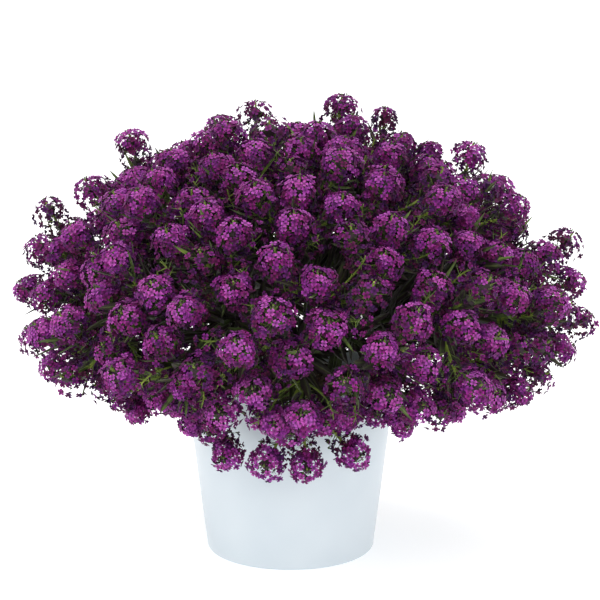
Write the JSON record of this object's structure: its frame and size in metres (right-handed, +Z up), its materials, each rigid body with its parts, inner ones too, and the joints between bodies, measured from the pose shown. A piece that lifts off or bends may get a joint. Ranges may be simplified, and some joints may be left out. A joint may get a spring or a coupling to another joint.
{
  "type": "potted sweet alyssum",
  "caption": "Sweet alyssum in a plain tapered pot: a wide mound of domed flower heads and narrow leaves on branching stems that stand in the soil.",
  "frame": {"origin": "centre of the pot's foot, on the surface that it stands on", "axes": "+Z up along the pot's axis; the plant's front faces -Y; +X is to the right seen from the front"},
  "size_m": [0.397, 0.3599, 0.3065],
  "materials": {
    "white_plastic": "smooth moulded plastic with a soft sheen, white with a faint cool tint",
    "potting_soil": "damp crumbly potting soil",
    "stem_green": "soft green stems and narrow leaves with a faint bloom",
    "floret_purple": "soft purple petals, fresh and lighter at the tips, dark on the older florets"
  },
  "bodies": {
    "root": {"pot": "white_plastic", "soil": "potting_soil", "leafy_stem_01": "stem_green", "leafy_stem_02": "stem_green", "leafy_stem_03": "stem_green", "leafy_stem_04": "stem_green", "leafy_stem_05": "stem_green", "leafy_stem_06": "stem_green", "leafy_stem_07": "stem_green", "leafy_stem_08": "stem_green", "leafy_stem_09": "stem_green", "leafy_stem_10": "stem_green", "leafy_stem_11": "stem_green", "spray_01": "floret_purple", "spray_02": "floret_purple", "spray_03": "floret_purple", "spray_04": "floret_purple", "spray_05": "floret_purple", "spray_06": "floret_purple", "spray_07": "floret_purple", "spray_08": "floret_purple", "spray_09": "floret_purple", "spray_10": "floret_purple", "spray_11": "floret_purple", "spray_12": "floret_purple", "spray_13": "floret_purple", "spray_14": "floret_purple", "spray_15": "floret_purple", "spray_16": "floret_purple", "spray_17": "floret_purple", "spray_18": "floret_purple", "spray_19": "floret_purple", "spray_20": "floret_purple", "spray_21": "floret_purple", "spray_22": "floret_purple", "spray_23": "floret_purple", "spray_24": "floret_purple", "spray_25": "floret_purple", "spray_26": "floret_purple", "spray_27": "floret_purple", "spray_28": "floret_purple", "spray_29": "floret_purple", "spray_30": "floret_purple", "spray_31": "floret_purple", "spray_32": "floret_purple", "spray_33": "floret_purple", "spray_34": "floret_purple", "spray_35": "floret_purple", "spray_36": "floret_purple", "spray_37": "floret_purple", "spray_38": "floret_purple", "spray_39": "floret_purple", "spray_40": "floret_purple", "spray_41": "floret_purple", "spray_42": "floret_purple", "spray_43": "floret_purple", "spray_44": "floret_purple"}
  },
  "joints": []
}
